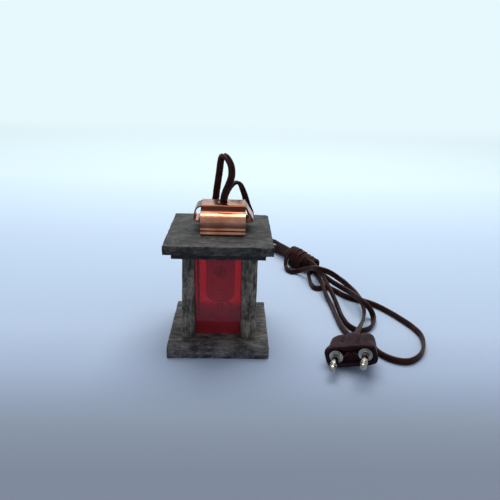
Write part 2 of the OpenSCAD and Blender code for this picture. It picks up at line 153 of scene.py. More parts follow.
def resample(points, step):
    """A smooth curve through the points, in even steps."""
    p = np.array(points, float)
    p = np.vstack([2 * p[0] - p[1], p, 2 * p[-1] - p[-2]])
    t = np.concatenate([[0], np.cumsum(np.sqrt(np.linalg.norm(np.diff(p, axis=0), axis=1)))])
    dense = []
    for i in range(1, len(p) - 2):
        for s in np.linspace(t[i], t[i + 1], 24, endpoint=False):
            def mix(a, b, j, k, s=s):
                return ((t[k] - s) * a + (s - t[j]) * b) / (t[k] - t[j])
            a1, a2, a3 = (mix(p[k], p[k + 1], k, k + 1) for k in (i - 1, i, i + 1))
            b1, b2 = mix(a1, a2, i - 1, i + 1), mix(a2, a3, i, i + 2)
            dense.append(mix(b1, b2, i, i + 1))
    dense = np.array(dense + [p[-2]])
    along = np.concatenate([[0], np.cumsum(np.linalg.norm(np.diff(dense, axis=0), axis=1))])
    even = np.linspace(0, along[-1], max(int(round(along[-1] / step)), 2) + 1)
    return np.stack([np.interp(even, along, dense[:, k]) for k in range(3)], 1)


def unit(v):
    return v / np.linalg.norm(v, axis=-1, keepdims=True)


def frames_along(path, wide_at):
    """The directions of a flat lead's wide and thin sides at each point. wide_at gives the
    wide side's direction at some indices; between them it turns evenly."""
    tangent = unit(np.gradient(path, axis=0))
    side = np.zeros_like(path)
    first = np.array(wide_at[0], float)
    side[0] = unit(first - tangent[0] * (first @ tangent[0]))
    for i in range(1, len(path)):
        side[i] = unit(side[i - 1] - tangent[i] * (side[i - 1] @ tangent[i]))
    other = np.cross(tangent, side)
    marks, angles = [0], [0.0]
    for i in sorted(set(wide_at) - {0}):
        angle = math.atan2(np.dot(wide_at[i], other[i]), np.dot(wide_at[i], side[i]))
        angle += math.pi * round((angles[-1] - angle) / math.pi)
        marks.append(i)
        angles.append(angle)
    turn = np.interp(np.arange(len(path)), marks, angles)[:, None]
    wide = side * np.cos(turn) + other * np.sin(turn)
    return wide, other * np.cos(turn) - side * np.sin(turn)


def skin(count, n, ring=False):
    """Faces between count loops of n points each. The two ends are filled, or in a ring
    the last loop joins on to the first."""
    faces = [[i * n + k, i * n + (k + 1) % n, (i + 1) % count * n + (k + 1) % n,
              (i + 1) % count * n + k]
             for i in range(count if ring else count - 1) for k in range(n)]
    if not ring:
        faces += [list(range(n))[::-1], [(count - 1) * n + k for k in range(n)]]
    return faces


def swept(name, path, wide, thin, outline, mat):
    """A closed tube: the outline, in metres, carried along the path."""
    points = [p + x * w + y * h for p, w, h in zip(path, wide, thin) for x, y in outline]
    return new_piece(name, points, skin(len(path), len(outline)), mat)


# The middle of the flex in mm, stretch by stretch from the cap's hole to the plug
TOP = [(1.2, 1.9, 56.4), (1.2, 2.1, 57.5), (1.5, 2.4, 59), (2.2, 2.8, 60.9), (3, 3.2, 62.8),
       (3.7, 3.5, 64.7), (4.1, 3.8, 66.5), (4.1, 4.1, 68.4), (3.7, 4.6, 70.2), (2.9, 5.4, 71.7),
       (1.9, 6.4, 72.9), (0.9, 7.5, 73.4), (0.2, 8.8, 72.6), (-0.3, 10, 70.6), (-0.7, 11.2, 67.3),
       (-1.3, 12.2, 63), (-1.9, 13, 58.8), (-2.4, 13.7, 54.8), (-3.3, 14.2, 50.8),
       (-2.7, 15, 48.6), (-0.8, 16, 47.6), (1.1, 16.9, 48.6), (1.8, 17.5, 51.4),
       (1.8, 17.8, 53.9), (2.5, 18, 56.1), (3.7, 18.2, 58.5), (5, 18.5, 60), (6.4, 18.8, 60.4),
       (7.6, 19.3, 59.4), (8.5, 19.9, 57.4), (9.5, 20.7, 54.6), (10.8, 21.7, 50),
       (12.2, 22.3, 46.4)]
DROP = [(12.4, 22.4, 43), (12.4, 22.4, 41), (12, 23.2, 15), (12, 25.8, 6), (12.3, 31, 2.2),
        (12.7, 40, 1.4), (13.4, 63, 1.4), (14.2, 84, 1.4), (16, 91.6, 1.4), (20, 96.4, 1.4),
        (24.6, 97.8, 1.4), (29.3, 97, 1.4), (32.8, 91.1, 1.8), (36.7, 84.2, 2), (40.2, 79.2, 2.3)]
NEAR = [(47.1, 67.4, 4.8), (49.7, 62.8, 4.5), (51.5, 56.6, 4.7), (53.2, 53, 3.8),
        (55.5, 48.5, 3.2), (57.5, 42.4, 3.8), (59.3, 36.1, 4.8), (60.9, 29.6, 6),
        (62.3, 23.3, 6.9), (63.7, 18.2, 7.3), (65.2, 15.2, 6.8), (66.8, 14.5, 5.2),
        (68.1, 14.3, 3.2), (68.6, 13.1, 1.6), (67.8, 9.6, 1.4), (66, 5.5, 1.4), (63.6, 2.5, 1.4),
        (60.7, 0.9, 1.4), (58.5, 1.2, 1.4), (56.8, 3.2, 1.4), (55.3, 6.4, 1.4), (54.4, 13.9, 1.4),
        (54.3, 22.6, 1.7), (53.7, 28.3, 3), (52.9, 32, 4.4), (52.2, 35.8, 5.4), (51.4, 40.8, 6.4),
        (50.6, 47.8, 6.9), (49.2, 54.7, 7.2), (47.2, 61.9, 7.4)]
BIGHT = [(39.9, 77.7, 5), (36.4, 83.2, 5), (32.6, 89.9, 4.8), (28.7, 95, 4.5), (25.4, 105.2, 2.2),
         (21.4, 109, 1.5), (16.8, 109.4, 1.4), (14.4, 106.4, 1.4), (16.2, 103.2, 2.4),
         (20.6, 102.6, 4.8), (28.8, 97.5, 6.8), (32.4, 89.4, 7.5), (36.3, 81.2, 7.9),
         (39.8, 73.1, 7.9)]
FAR = [(45.6, 73.6, 2.2), (48, 68.6, 1.9), (49.6, 63, 1.8), (50.1, 55.7, 2.6), (49.9, 46.3, 3.9),
       (50.1, 38.2, 4.2), (50.4, 33.6, 3), (51.1, 28.9, 1.8), (51.6, 22.7, 1.4),
       (51.8, 13.8, 1.4), (52.2, 5.8, 1.4), (53.1, 0.2, 1.4), (54.8, -4.6, 1.4), (58, -8.2, 1.4),
       (61.4, -11.2, 1.4), (63.5, -16.5, 1.4), (66.4, -19.8, 1.4), (69.8, -21.6, 1.4),
       (73.2, -21.7, 1.4), (77.2, -19.3, 1.4), (81, -14.6, 1.4), (83.6, -8.6, 1.4),
       (84.8, -1.9, 1.4), (83.5, 4.9, 1.4), (79.9, 13.3, 1.4), (76.6, 19.4, 1.4),
       (72.4, 25.4, 1.4), (68.7, 28.6, 1.4), (64.6, 30.8, 1.4), (62, 32.7, 1.4),
       (59.4, 35.2, 1.4), (57.1, 39, 1.4), (55.1, 42.1, 1.4), (53.1, 44, 1.4), (50.7, 43.8, 1.4),
       (48.3, 42.7, 1.4), (46.5, 43.4, 1.4), (45.5, 46.6, 1.4), (45.3, 51.6, 1.4),
       (45.7, 57.4, 1.4), (46.5, 63.5, 1.4)]
LEAD = [(34.2, 69.2, 2.5), (35, 65.6, 1.6), (36.9, 63.4, 1.4), (39.8, 63.3, 1.8),
        (42.2, 61.1, 3.6), (44.7, 56.5, 6.4), (47, 50.3, 9.2), (49.9, 47, 10), (52.9, 46.5, 9.2),
        (55.8, 46.1, 7.8), (58.6, 45.4, 6.1), (61, 42.5, 5.2), (62.9, 38, 4.6), (64.5, 32.4, 4.3),
        (65.3, 26.5, 4.1), (65.3, 19.9, 3.8), (64.3, 13.4, 3.8), (62.2, 6.4, 4.4),
        (59.4, -0.5, 5.6), (56.4, -7.5, 6.8), (54, -12.7, 7.2), (52.7, -16.2, 7.2)]

# The hank: from its thick end by the lantern to its thin end by the plug
KNOT_FROM, KNOT_TO = np.array((37.9, 75.4, 6.1)), np.array((50.0, 65.4, 4.1))
KNOT_ALONG = unit(KNOT_TO - KNOT_FROM)
KNOT_ACROSS = unit(np.array((-KNOT_ALONG[1], KNOT_ALONG[0], 0)))
KNOT_UP = np.cross(KNOT_ALONG, KNOT_ACROSS)
THICK_R, TAPER = 5.35, 2.2
TURNS, FIRST_ANGLE = 5.8, -110
LYING_FLAT = 0.72  # height of the flex's middle where it lies flat on the surface


def wound(steps=104, ease=12):
    """The turns round the hank, each a little uneven, from its thin end to its thick end."""
    for i in range(steps + 1):
        angle = math.radians(FIRST_ANGLE + 360 * TURNS * i / steps)
        along = 1 - i / steps + 0.018 * math.sin(2.3 * angle) * min(i, steps - i, ease) / ease
        r = THICK_R - TAPER * max(along, 0) ** 1.3 + 0.12 * math.sin(1.7 * angle)
        p = (KNOT_FROM + (KNOT_TO - KNOT_FROM) * along + KNOT_ACROSS * r * math.cos(angle)
             + KNOT_UP * r * math.sin(angle))
        yield (p[0], p[1], max(p[2], LYING_FLAT))


FLEX_STEP = 0.8
turns = list(wound())
flex_path = resample(TOP + DROP + NEAR + BIGHT + FAR + turns + LEAD, FLEX_STEP) * MM


def flex_index(point):
    """The index in flex_path of the place nearest to a point in mm."""
    return int(np.argmin(np.linalg.norm(flex_path - np.array(point) * MM, axis=1)))


# Which way the flex's wide side lies: across the view over the cap, on edge along the
# surface, along the hank where it is wound round it
wide_at = {0: (1, 0, 0.0), flex_index(TOP[11]): (0.6, 0.8, 0.0),
           flex_index(TOP[17]): (1, 0.1, 0.0), flex_index(TOP[27]): (0.5, 0.8, 0.0),
           flex_index(DROP[0]): (0.9, 0.45, 0.0), flex_index(DROP[3]): (0.5, 0, 0.8),
           flex_index(LEAD[-1]): (1, 0.2, 0.3)}
for stretch, marks in ((DROP, (5, 8, 12)), (NEAR, (0, 6, 12, 18, 24, 28)),
                       (BIGHT, (0, 5, 9, 12)), (FAR, (0, 8, 14, 20, 26, 33, 39, 40)),
                       (LEAD, (1, 5, 9, 13, 17))):
    for k in marks:
        wide_at[flex_index(stretch[k])] = (0, 0, 1.0)
for point in turns[4::6]:
    wide_at[flex_index(point)] = tuple(KNOT_ALONG)

# Two round cores of 1.4 mm joined by a thin web
CORE_R, CORE_AT, GROOVE = 0.71, 0.72, math.radians(19)
arc = np.linspace(-math.pi + GROOVE, math.pi - GROOVE, 12)
flex_outline = [(CORE_AT + CORE_R * math.cos(a), CORE_R * math.sin(a)) for a in arc]
flex_outline += [(-CORE_AT - CORE_R * math.cos(a), -CORE_R * math.sin(a)) for a in arc]

# Soft vinyl: dark red-brown, dulled where it has been handled, so its long
# highlights are narrow and broken
vinyl = new_material("flex_vinyl_dark_brown", IOR=1.5, Specular_IOR_Level=0.1)
wear(vinyl, [(0.3, "#27110f"), (0.55, "#361b17"), (0.75, "#4a2822")], 4, (0.27, 0.42), 1.1,
     0.7, 0.04)

wide, thin = frames_along(flex_path, wide_at)
flex = swept("twin_flex", flex_path, wide, thin, [(x * MM, y * MM) for x, y in flex_outline],
             vinyl)
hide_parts("cord_top", "cord_drop", "cord_far_loop", "cord_bight", "cord_near_loop",
            "cord_wrap", "cord_plug_lead")
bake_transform(flex)

# ---- Plug ----
# A two-pin miniature plug moulded in dark brown plastic: two rounded lobes with
# the cable entry raised between them, and a recess in front where the pins and
# the wires meet. Its stiff flex tips it over onto its left edge.
PLUG_AT = np.array((50.27, -27.27, 2.46))
PLUG_TURN = np.array(Matrix.Rotation(math.radians(-20.4), 3, "Z")
                     @ Matrix.Rotation(math.radians(-18), 3, "Y"))
PLUG_L, PLUG_H, PLUG_HALF_W = 11.5, 8.5, 9.6
FRONT_EDGE, BACK_ROUND, WAIST = 0.5, 3.4, 1.1
LOBES_MEET, ENTRY_Z = 2.9, 5.0
PIN_Z, PIN_SPACING = 4.3, 11.0


def at_plug(points):
    """Points given from the middle of the plug's front, in mm, to the frame in metres."""
    return (np.array(points, float) @ PLUG_TURN.T + PLUG_AT) * MM


def rounded_loop(half_w, low, high, power, count=144):
    """An even loop round a rounded rectangle in the plug's cross-section."""
    a = np.linspace(-math.pi / 2, 1.5 * math.pi, 1441)
    c, s = np.cos(a), np.sin(a)
    x = half_w * np.sign(c) * np.abs(c) ** (2 / power)
    z = (low + high) / 2 + (high - low) / 2 * np.sign(s) * np.abs(s) ** (2 / power)
    along = np.concatenate([[0], np.cumsum(np.hypot(np.diff(x), np.diff(z)))])
    even = np.linspace(0, along[-1], count, endpoint=False)
    return np.interp(even, along, x), np.interp(even, along, z)


def lofted(name, loops, mat, place, ring=False):
    """Closed surface through loops of equal count, moved to the frame by place."""
    faces = skin(len(loops), len(loops[0]), ring)
    return new_piece(name, place(np.concatenate(loops)), faces, mat)


def smoothstep(x, a, b):
    """0 below a, 1 above b, and a soft rise between them."""
    t = np.clip((x - a) / (b - a), 0, 1)
    return t * t * (3 - 2 * t)


def plug_loop(y):
    """Cross-section of the housing y mm behind its front face. The front's edge and the
    back are rounded, the sides draw in behind the rim, and on top two grooves part the
    lobes from the raised cable entry. The mould's parting line runs round the middle."""
    edge = FRONT_EDGE * (1 - math.sqrt(max(0, 1 - (1 - min(y, FRONT_EDGE) / FRONT_EDGE) ** 2)))
    behind = max(0, y - (PLUG_L - BACK_ROUND)) / BACK_ROUND
    shrink = 3.2 * (1 - math.sqrt(max(0, 1 - behind ** 2)))
    half = PLUG_HALF_W - WAIST * smoothstep(y, 1.6, 4.4) - edge - shrink
    x, z = rounded_loop(half, edge * 0.6 + shrink * 0.25, PLUG_H - edge - shrink * 0.35, 4.8)
    upper = smoothstep(z, 5.0, 7.5)
    groove = 0.95 * (np.exp(-((x + LOBES_MEET) / 0.5) ** 2) * smoothstep(y, 2.6, 4.6)
                     + np.exp(-((x - LOBES_MEET) / 0.5) ** 2) * smoothstep(y, 1.0, 2.4))
    boss = 0.55 * np.clip(1 - (x / LOBES_MEET) ** 2, 0, 1) * smoothstep(y, 2.6, 10)
    z = z + upper * (boss - groove * (1 - 0.4 * behind))
    parting = 0.07 * np.exp(-((z - PIN_Z) / 0.16) ** 2) * (np.abs(x) > half * 0.8)
    return np.stack([x + np.sign(x) * parting, np.full_like(x, y), z], 1)


def recess_loop(y, half_w, low, high, power=5):
    """The recess: two round pockets for the collars with a lower bridge between them."""
    x, z = rounded_loop(half_w, low, high, power)
    pocket = np.exp(-((np.abs(x) - PIN_SPACING / 2) / 1.9) ** 2)
    z = z + smoothstep(z, 5.2, 7) * (0.35 * pocket - 0.55 * np.exp(-(x / 1.7) ** 2))
    return np.stack([x, np.full_like(x, y), z], 1)


# Moulded plastic: very dark maroon brown, satin, scuffed paler in patches
plug_plastic = new_material("plug_moulded_plastic_brown", IOR=1.5, Specular_IOR_Level=0.06)
wear(plug_plastic, [(0.3, "#241115"), (0.55, "#311a1f"), (0.8, "#41272c")], 4.5, (0.3, 0.5), 1.4,
     0.9, 0.04)

# Loops from the recess's floor out to its lip, then back along the outside; the
# places along it lie closer together where it is rounded
stations = [0.0, 0.06, 0.16, 0.3, 0.5, 1.0, 1.6, 2.3, 3.0, 3.7, 4.4, 5.1, 5.8, 6.4, 7.0, 7.6, 8.2,
            8.7, 9.1, 9.5, 9.9, 10.3, 10.65, 10.95, 11.2, 11.38, 11.48]
loops = [recess_loop(2.2, 7.8, 1.75, 6.85), recess_loop(2.1, 8.0, 1.62, 6.98),
         recess_loop(1.4, 8.1, 1.55, 7.05), recess_loop(0.4, 8.15, 1.5, 7.1),
         recess_loop(0.1, 8.25, 1.38, 7.22), recess_loop(0.0, 8.5, 1.15, 7.5)]
loops += [plug_loop(y) for y in stations]
back = plug_loop(PLUG_L - 0.001)
centre = back.mean(0)
loops += [centre + (back - centre) * k + (0, 0.001, 0) for k in (0.7, 0.4, 0.12)]
housing = lofted("plug_housing_moulded", loops, plug_plastic, at_plug)
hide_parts("plug_housing")
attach(housing, "lantern")

# The flex enters through a short collar moulded on the back of the housing
entry = []
for y, r in ((10.1, 2.3), (11.3, 2.15), (11.9, 1.95), (12.1, 1.75), (11.95, 1.6), (11.4, 1.55)):
    a = np.linspace(0, 2 * math.pi, 40, endpoint=False)
    entry.append(np.stack([r * np.cos(a), np.full_like(a, y), ENTRY_Z + r * np.sin(a)], 1))
collar = lofted("plug_cable_collar", entry, plug_plastic, at_plug)
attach(collar, "lantern")

# ---- Plug pins ----
# Brass pins turned in one piece with a round collar and a necked tip, nickel
# plated; pressed into the housing behind the recess.
# Nickel plate: bright, with fine turning marks round it that widen its highlights
nickel = new_material("pin_nickel_plate", Metallic=1.0)
wear(nickel, [(0.3, "#8d8880"), (0.6, "#c2bcb2"), (0.85, "#ebe6dd")], 2, (0.08, 0.22), 0.7, 0.4,
     0.012, stretch=(1, 0.15, 1))


def circle(r, z, angles):
    """A loop of points at the angles; r is one radius or one for each angle."""
    return np.stack([r * np.cos(angles), r * np.sin(angles), np.full_like(angles, z)], 1)


def turned(name, outline, mat, place, count=48):
    """Turned part: (radius, distance) outline round an axis, placed point by point."""
    angles = np.linspace(0, 2 * math.pi, count, endpoint=False)
    return lofted(name, [circle(max(r, 1e-4), d, angles) for r, d in outline], mat, place)


# The shank, the collar, the pin, its turned neck and its rounded tip
pin_outline = [(0, -4.7), (1.3, -4.7), (1.3, -2.22), (2.55, -2.2), (2.7, -2.08), (2.7, -0.58),
               (2.62, -0.44), (2.45, -0.4), (1.42, -0.4), (1.3, -0.3), (1.3, 0.8), (1.3, 3.0),
               (1.3, 5.3), (1.24, 5.42), (0.98, 5.62), (0.9, 5.75), (0.9, 6.25), (1.0, 6.4),
               (1.22, 6.72), (1.3, 7.1), (1.28, 7.5), (1.16, 7.95), (0.92, 8.3), (0.55, 8.52),
               (0, 8.6)]
for side, name in ((-1, "left"), (1, "right")):
    def at_pin(p, side=side):
        x = side * PIN_SPACING / 2 + p[:, 0]
        return at_plug(np.stack([x, -p[:, 2], PIN_Z + p[:, 1]], 1))
    pin = turned("plug_pin_" + name + "_turned", pin_outline, nickel, at_pin)
    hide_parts("plug_pin_" + name)
    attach(pin, "lantern")

# ---- Plug wires ----
# The two bared cores, twisted and tinned dark with flux, run across the recess
# from the cable entry to the backs of the collars.
# Bare copper gone brown, rough with flux
tinned = new_material("wire_bare_copper_dull", Metallic=0.6)
wear(tinned, [(0.35, "#2e1c18"), (0.6, "#5c3a2e"), (0.85, "#8a6a58")], 1.1, (0.4, 0.6), 0.8, 0.45,
     0.08, stretch=(1, 1, 0.4))
WIRE_STEP, WIRE_TWIST = 0.12, 3.3
WIRE_R, STRAND_RELIEF = 0.36, 0.09
angles = np.linspace(0, 2 * math.pi, 14, endpoint=False)
for side, name in ((-1, "left"), (1, "right")):
    line = resample([(side * 0.7, 2.18, 4.9), (side * 0.8, 1.7, 5.3), (side * 1.6, 1.2, 4.7),
                     (side * 2.6, 1.6, 3.8)], WIRE_STEP)
    # three strands: a rounded triangle that turns as it goes along the wire
    loops = []
    for i, (p, w, h) in enumerate(zip(line, *frames_along(line, {0: (1.0, 0, 0)}))):
        turn = (angles + WIRE_TWIST * WIRE_STEP * i)[:, None]
        r = (WIRE_R + STRAND_RELIEF * np.cos(3 * angles))[:, None]
        loops.append(p + (w * np.cos(turn) + h * np.sin(turn)) * r)
    wire = lofted("plug_wire_" + name, loops, tinned, at_plug)
    if side < 0:
        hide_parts("plug_wires")
    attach(wire, "lantern")

# ---- Wood parts ----
# Softwood strip, sawn square, sanded a little round at the edges and stained
# charcoal; the stain sits unevenly, so grey fibre shows on flat faces and the
# saw-cut ends stay nearly black. Glued together.
def stained_wood(name, grain, drawn_out, shift, dark, mid, pale):
    """Matt stained softwood: fibres and growth bands along the grain, the stain darker in
    the pores and thin on the raised fibre, with pale and brown specks. The fibres are drawn
    about 0.4 mm wide, coarser than real ones, so that they show at this size."""
    mat = new_material(name, IOR=1.45)
    stretch = tuple(drawn_out if axis == grain else 1.0 for axis in range(3))
    object_place = add_node(mat, "TexCoord", out="Object")
    drawn = add_node(mat, "Mapping", {"Vector": object_place, "Scale": stretch,
                                      "Location": shift})
    even = add_node(mat, "Mapping", {"Vector": object_place, "Location": shift})
    fibre, bands, patches, speck = (
        add_node(mat, "TexNoise", {"Vector": place, "Scale": 1 / (size * MM), "Detail": detail,
                                   "Roughness": 0.65})
        for place, size, detail in ((drawn, 0.42, 6), (drawn, 1.6, 4), (even, 6, 4),
                                    (even, 0.4, 2)))
    mixed = add_node(mat, "Math", {0: add_node(mat, "Math", {0: fibre, 1: bands}), 1: patches})
    stain = add_node(mat, "MapRange", {"Value": mixed, "From Min": 1.27, "From Max": 1.75})
    colour = add_node(mat, "ValToRGB", {"Fac": stain},
                      stops=[(0.08, dark), (0.42, mid), (0.92, pale)])
    pale_speck = add_node(mat, "MapRange", {"Value": speck, "From Min": 0.59, "From Max": 0.71,
                                            "To Max": 0.5})
    colour = add_node(mat, "Mix", {0: pale_speck, 6: colour, 7: linear("#7f7c76")}, out=2,
                      data_type="RGBA")
    brown_speck = add_node(mat, "MapRange", {"Value": speck, "From Min": 0.42, "From Max": 0.3,
                                             "To Max": 0.6})
    add_node(mat, "Mix", {0: brown_speck, 6: colour, 7: linear("#3a2a22")}, out=2, to="Base Color",
             data_type="RGBA")
    add_node(mat, "MapRange", {"Value": fibre, "From Min": 0.35, "From Max": 0.65, "To Min": 0.6,
                               "To Max": 0.88}, to="Roughness")
    rise = add_node(mat, "Math", {0: fibre, 1: bands}, operation="MULTIPLY")
    add_node(mat, "Bump", {"Height": rise, "Strength": 0.7, "Distance": 0.35 * MM}, to="Normal")
    return mat


def finished(name, shape, mat):
    """The piece that a bmesh in metres makes."""
    mesh = bpy.data.meshes.new(name)
    shape.to_mesh(mesh)
    shape.free()
    mesh.materials.append(mat)
    piece = bpy.data.objects.new(name, mesh)
    bpy.context.scene.collection.objects.link(piece)
    return piece


def board(name, low, high, mat, node, body, seed, edge=0.35, rough=0.09, hole=None, lean=0.0,
          cut=0.0):
    """A sawn piece between two corners in mm: rounded edges, slightly uneven faces.
    hole is (x, y, radius) drilled through, lean narrows its left side towards the top,
    cut takes off the back right corner."""
    low, high = Vector(low), Vector(high)
    size = high - low
    shape = bmesh.new()
    bmesh.ops.create_cube(shape, size=1)
    for v in shape.verts:
        v.co = Vector([low[k] + (v.co[k] + 0.5) * size[k] for k in range(3)])
        if lean and v.co.x < low.x + 0.1 and v.co.z > high.z - 0.1:
            v.co.x += lean
    if cut:
        corner = [e for e in shape.edges
                  if all(v.co.x > high.x - 0.01 and v.co.y > high.y - 0.01 for v in e.verts)]
        bmesh.ops.bevel(shape, geom=corner, offset=cut, segments=1, affect="EDGES")
    bmesh.ops.bevel(shape, geom=list(shape.edges), offset=edge, segments=3, profile=0.6,
                    affect="EDGES")
    # cut across every 1.5 mm or so, so that the faces can be uneven
    for axis in range(3):
        normal = Vector([1.0 if k == axis else 0.0 for k in range(3)])
        count = max(int(size[axis] / 1.5), 1)
        for i in range(1, count):
            at = Vector(low)
            at[axis] = low[axis] + edge + (size[axis] - 2 * edge) * i / count
            geometry = list(shape.verts) + list(shape.edges) + list(shape.faces)
            bmesh.ops.bisect_plane(shape, geom=geometry, plane_co=at, plane_no=normal)
    for v in shape.verts:
        p = v.co * 0.35 + Vector((seed * 7.3, seed * 3.1, 0))
        q = v.co * 1.3 + Vector((0, seed * 5.7, seed))
        # edges wander and chip more than faces
        near = sum(1 for k in range(3) if min(v.co[k] - low[k], high[k] - v.co[k]) < edge * 1.05)
        push = Vector([noise.noise(p + Vector((k * 11.0, 0, 0))) for k in range(3)]) * rough
        if near >= 2:
            nick = max(0.0, noise.noise(q) - 0.25)
            push += (low + size / 2 - v.co).normalized() * nick * 0.9
            push += Vector([noise.noise(q + Vector((0, k * 5.0, 3))) for k in range(3)]) * rough
        v.co += push
        v.co.z = max(v.co.z, 0.0)
    for v in shape.verts:
        v.co *= MM
    piece = finished(name, shape, mat)
    for face in piece.data.polygons:
        face.use_smooth = True
    if hole:
        drill(piece, hole, low.z - 2, high.z + 2)
    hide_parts(node)
    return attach(piece, body)


def apply_modifiers(piece):
    bpy.context.view_layer.update()
    depsgraph = bpy.context.evaluated_depsgraph_get()
    done = bpy.data.meshes.new_from_object(piece.evaluated_get(depsgraph))
    piece.modifiers.clear()
    piece.data = done


def drill(piece, hole, low, high, count=64, level=False):
    """Takes a round hole out of a piece: upright, or level from front to back."""
    across, other, radius = hole
    ring = [(across + radius * math.cos(2 * math.pi * k / count),
             other + radius * math.sin(2 * math.pi * k / count)) for k in range(count)]
    verts = [Vector((u, w, v) if level else (u, v, w)) * MM for w in (low, high) for u, v in ring]
    faces = [[k, (k + 1) % count, count + (k + 1) % count, count + k] for k in range(count)]
    faces += [list(range(count))[::-1], [count + k for k in range(count)]]
    if level:
        faces = [face[::-1] for face in faces]
    bit = new_piece("drill", verts, faces, piece.data.materials[0], smooth=False)
    cut = piece.modifiers.new("hole", "BOOLEAN")
    cut.object, cut.operation, cut.solver = bit, "DIFFERENCE", "EXACT"
    apply_modifiers(piece)
    bpy.data.objects.remove(bit)


X, Z = 0, 2
wood_flat = stained_wood("wood_charcoal_stain_grain_across", X, 0.3, (0, 0, 0),
                         "#252324", "#494647", "#77726f")
wood_roof = stained_wood("wood_charcoal_stain_roof", X, 0.45, (0.3, 0.1, 0),
                         "#121315", "#29292b", "#545150")
wood_post = stained_wood("wood_charcoal_stain_posts", Z, 0.2, (0.1, 0.4, 0.2),
                         "#2b2825", "#5b554f", "#938a7f")
# The top plate under the roof gets the darkest colours of the four
wood_dark = stained_wood("wood_charcoal_darkest", X, 0.2, (0.6, 0, 0.3),
                         "#0f1114", "#1e2023", "#3a3a3b")

BASE_TOP, POST_TOP, PLATE_TOP = 5.1, 40, 42.7
ROOF_BOTTOM, ROOF_TOP = 42.75, 46.15
LEFT, RIGHT = (-14.4, -9.3), (8.65, 14.4)
FRONT, BACK = (-12.7, -6.7), (9.4, 15.4)
LAMP_X, LAMP_Y = 0.2, 1.35
board("base_plate_sawn", (-19.5, -19.2, 0), (19.5, 19.2, BASE_TOP), wood_flat, "base_plate",
      "lantern", 1)
board("post_front_left_sawn", (LEFT[0], FRONT[0], BASE_TOP), (LEFT[1], FRONT[1], POST_TOP),
      wood_post, "post_front_left", "lantern", 2, lean=0.9)
board("post_front_right_sawn", (RIGHT[0], FRONT[0], BASE_TOP), (RIGHT[1], FRONT[1], POST_TOP),
      wood_post, "post_front_right", "lantern", 3)
board("post_back_left_sawn", (LEFT[0], BACK[0], BASE_TOP), (LEFT[1], BACK[1], POST_TOP),
      wood_post, "post_back_left", "lantern", 4)
board("post_back_right_sawn", (RIGHT[0], BACK[0], BASE_TOP), (RIGHT[1], BACK[1], POST_TOP),
      wood_post, "post_back_right", "lantern", 5)
board("top_plate_sawn", (-17.1, -17.1, POST_TOP), (17.1, 17.1, PLATE_TOP), wood_dark,
      "top_plate", "lantern", 6, edge=0.25, hole=(LAMP_X, LAMP_Y, 6.3))
board("roof_plate_sawn", (-19.65, -20.45, ROOF_BOTTOM), (19.65, 20.45, ROOF_TOP), wood_roof,
      "roof_plate", "roof", 7, hole=(LAMP_X, LAMP_Y, 2.6), cut=1.2)

# ---- Panes ----
# Cast acrylic sheet, 1 mm, transparent red, cut with a knife and snapped, so
# the edges are straight with a small bright chamfer. Glued between the posts.
# Tinted acrylic a little clouded by age, so that it glows red as well as showing
# what is behind it
pane_red = new_material("pane_red_acrylic", IOR=1.49, Transmission_Weight=0.79)
wear(pane_red, [(0.3, "#ee4658"), (0.7, "#f65163")], 17, (0.02, 0.08), 2, 11, 0.03)


def pane(name, low, high, node):
    """A sheet between two corners in mm."""
    shape = bmesh.new()
    bmesh.ops.create_cube(shape, size=1)
    for v in shape.verts:
        v.co = Vector([(low[k] + (v.co[k] + 0.5) * (high[k] - low[k])) * MM for k in range(3)])
    bmesh.ops.bevel(shape, geom=list(shape.edges), offset=0.14 * MM, segments=1,
                    affect="EDGES")
    piece = finished(name, shape, pane_red)
    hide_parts(node)
    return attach(piece, "lantern")


pane("pane_front_cut", (LEFT[1], -9, BASE_TOP), (RIGHT[0], -8, POST_TOP), "pane_front")
pane("pane_back_cut", (LEFT[1], 14.3, BASE_TOP), (RIGHT[0], 15.3, POST_TOP), "pane_back")
pane("pane_left_cut", (-10.7, FRONT[1], BASE_TOP), (-9.7, BACK[0], POST_TOP), "pane_left")
pane("pane_right_cut", (9.7, FRONT[1], BASE_TOP), (10.7, BACK[0], POST_TOP), "pane_right")

# ---- Copper cap ----
# One cross of soft copper sheet, 0.5 mm, bent by hand over a former: the wide
# arms roll down in front and behind and turn back under, the narrow wings fold
# down left and right. Pierced on top for the flex and glued to the roof.
# Soft copper as rolled: pink where it was rubbed, browner where fingers touched it,
# with the mill's fine streaks drawing its highlights out sideways. The slopes above
# the rolls and the tops of the wings are painted dark brown as painted shade, in place of the dark
# reflection they show
CAP_AT = np.array((1.2, 1.9, ROOF_TOP))
copper = new_material("copper_sheet_soft_rolled", Metallic=1.0)
place = add_node(copper, "TexCoord", out="Object")
drawn = add_node(copper, "Mapping", {"Vector": place, "Scale": (0.06, 1, 1)})
streak = add_node(copper, "TexNoise", {"Vector": drawn, "Scale": 1 / (1.1 * MM), "Detail": 5})
tarnish = add_node(copper, "TexNoise", {"Vector": place, "Scale": 1 / (7 * MM), "Detail": 4})
rubbed = add_node(copper, "ValToRGB", {"Fac": tarnish},
                  stops=[(0.3, "#ab6a51"), (0.5, "#cb8b70"), (0.72, "#e2a98c")])
centred = add_node(copper, "Mapping", {"Vector": place,
                                       "Location": (-CAP_AT[0] * MM, -CAP_AT[1] * MM, 0)})
away = add_node(copper, "VectorMath", {0: centred}, operation="ABSOLUTE")
apart = add_node(copper, "SeparateXYZ", {0: away}).node
aside, beyond, above = (
    add_node(copper, "MapRange", {"Value": apart.outputs[axis], "From Min": start * MM,
                                  "From Max": end * MM}, interpolation_type="SMOOTHSTEP")
    for axis, start, end in (("X", 7.9, 8.6), ("Y", 4.1, 4.7), ("Z", 53.95, 54.5)))
# Painted shade: the slopes above the rolls and the wings' tops are mixed to dark brown #5d3527
slopes = add_node(copper, "Math", {0: aside, 1: beyond}, operation="MAXIMUM")
fold = add_node(copper, "Math", {0: slopes, 1: above}, operation="MULTIPLY")
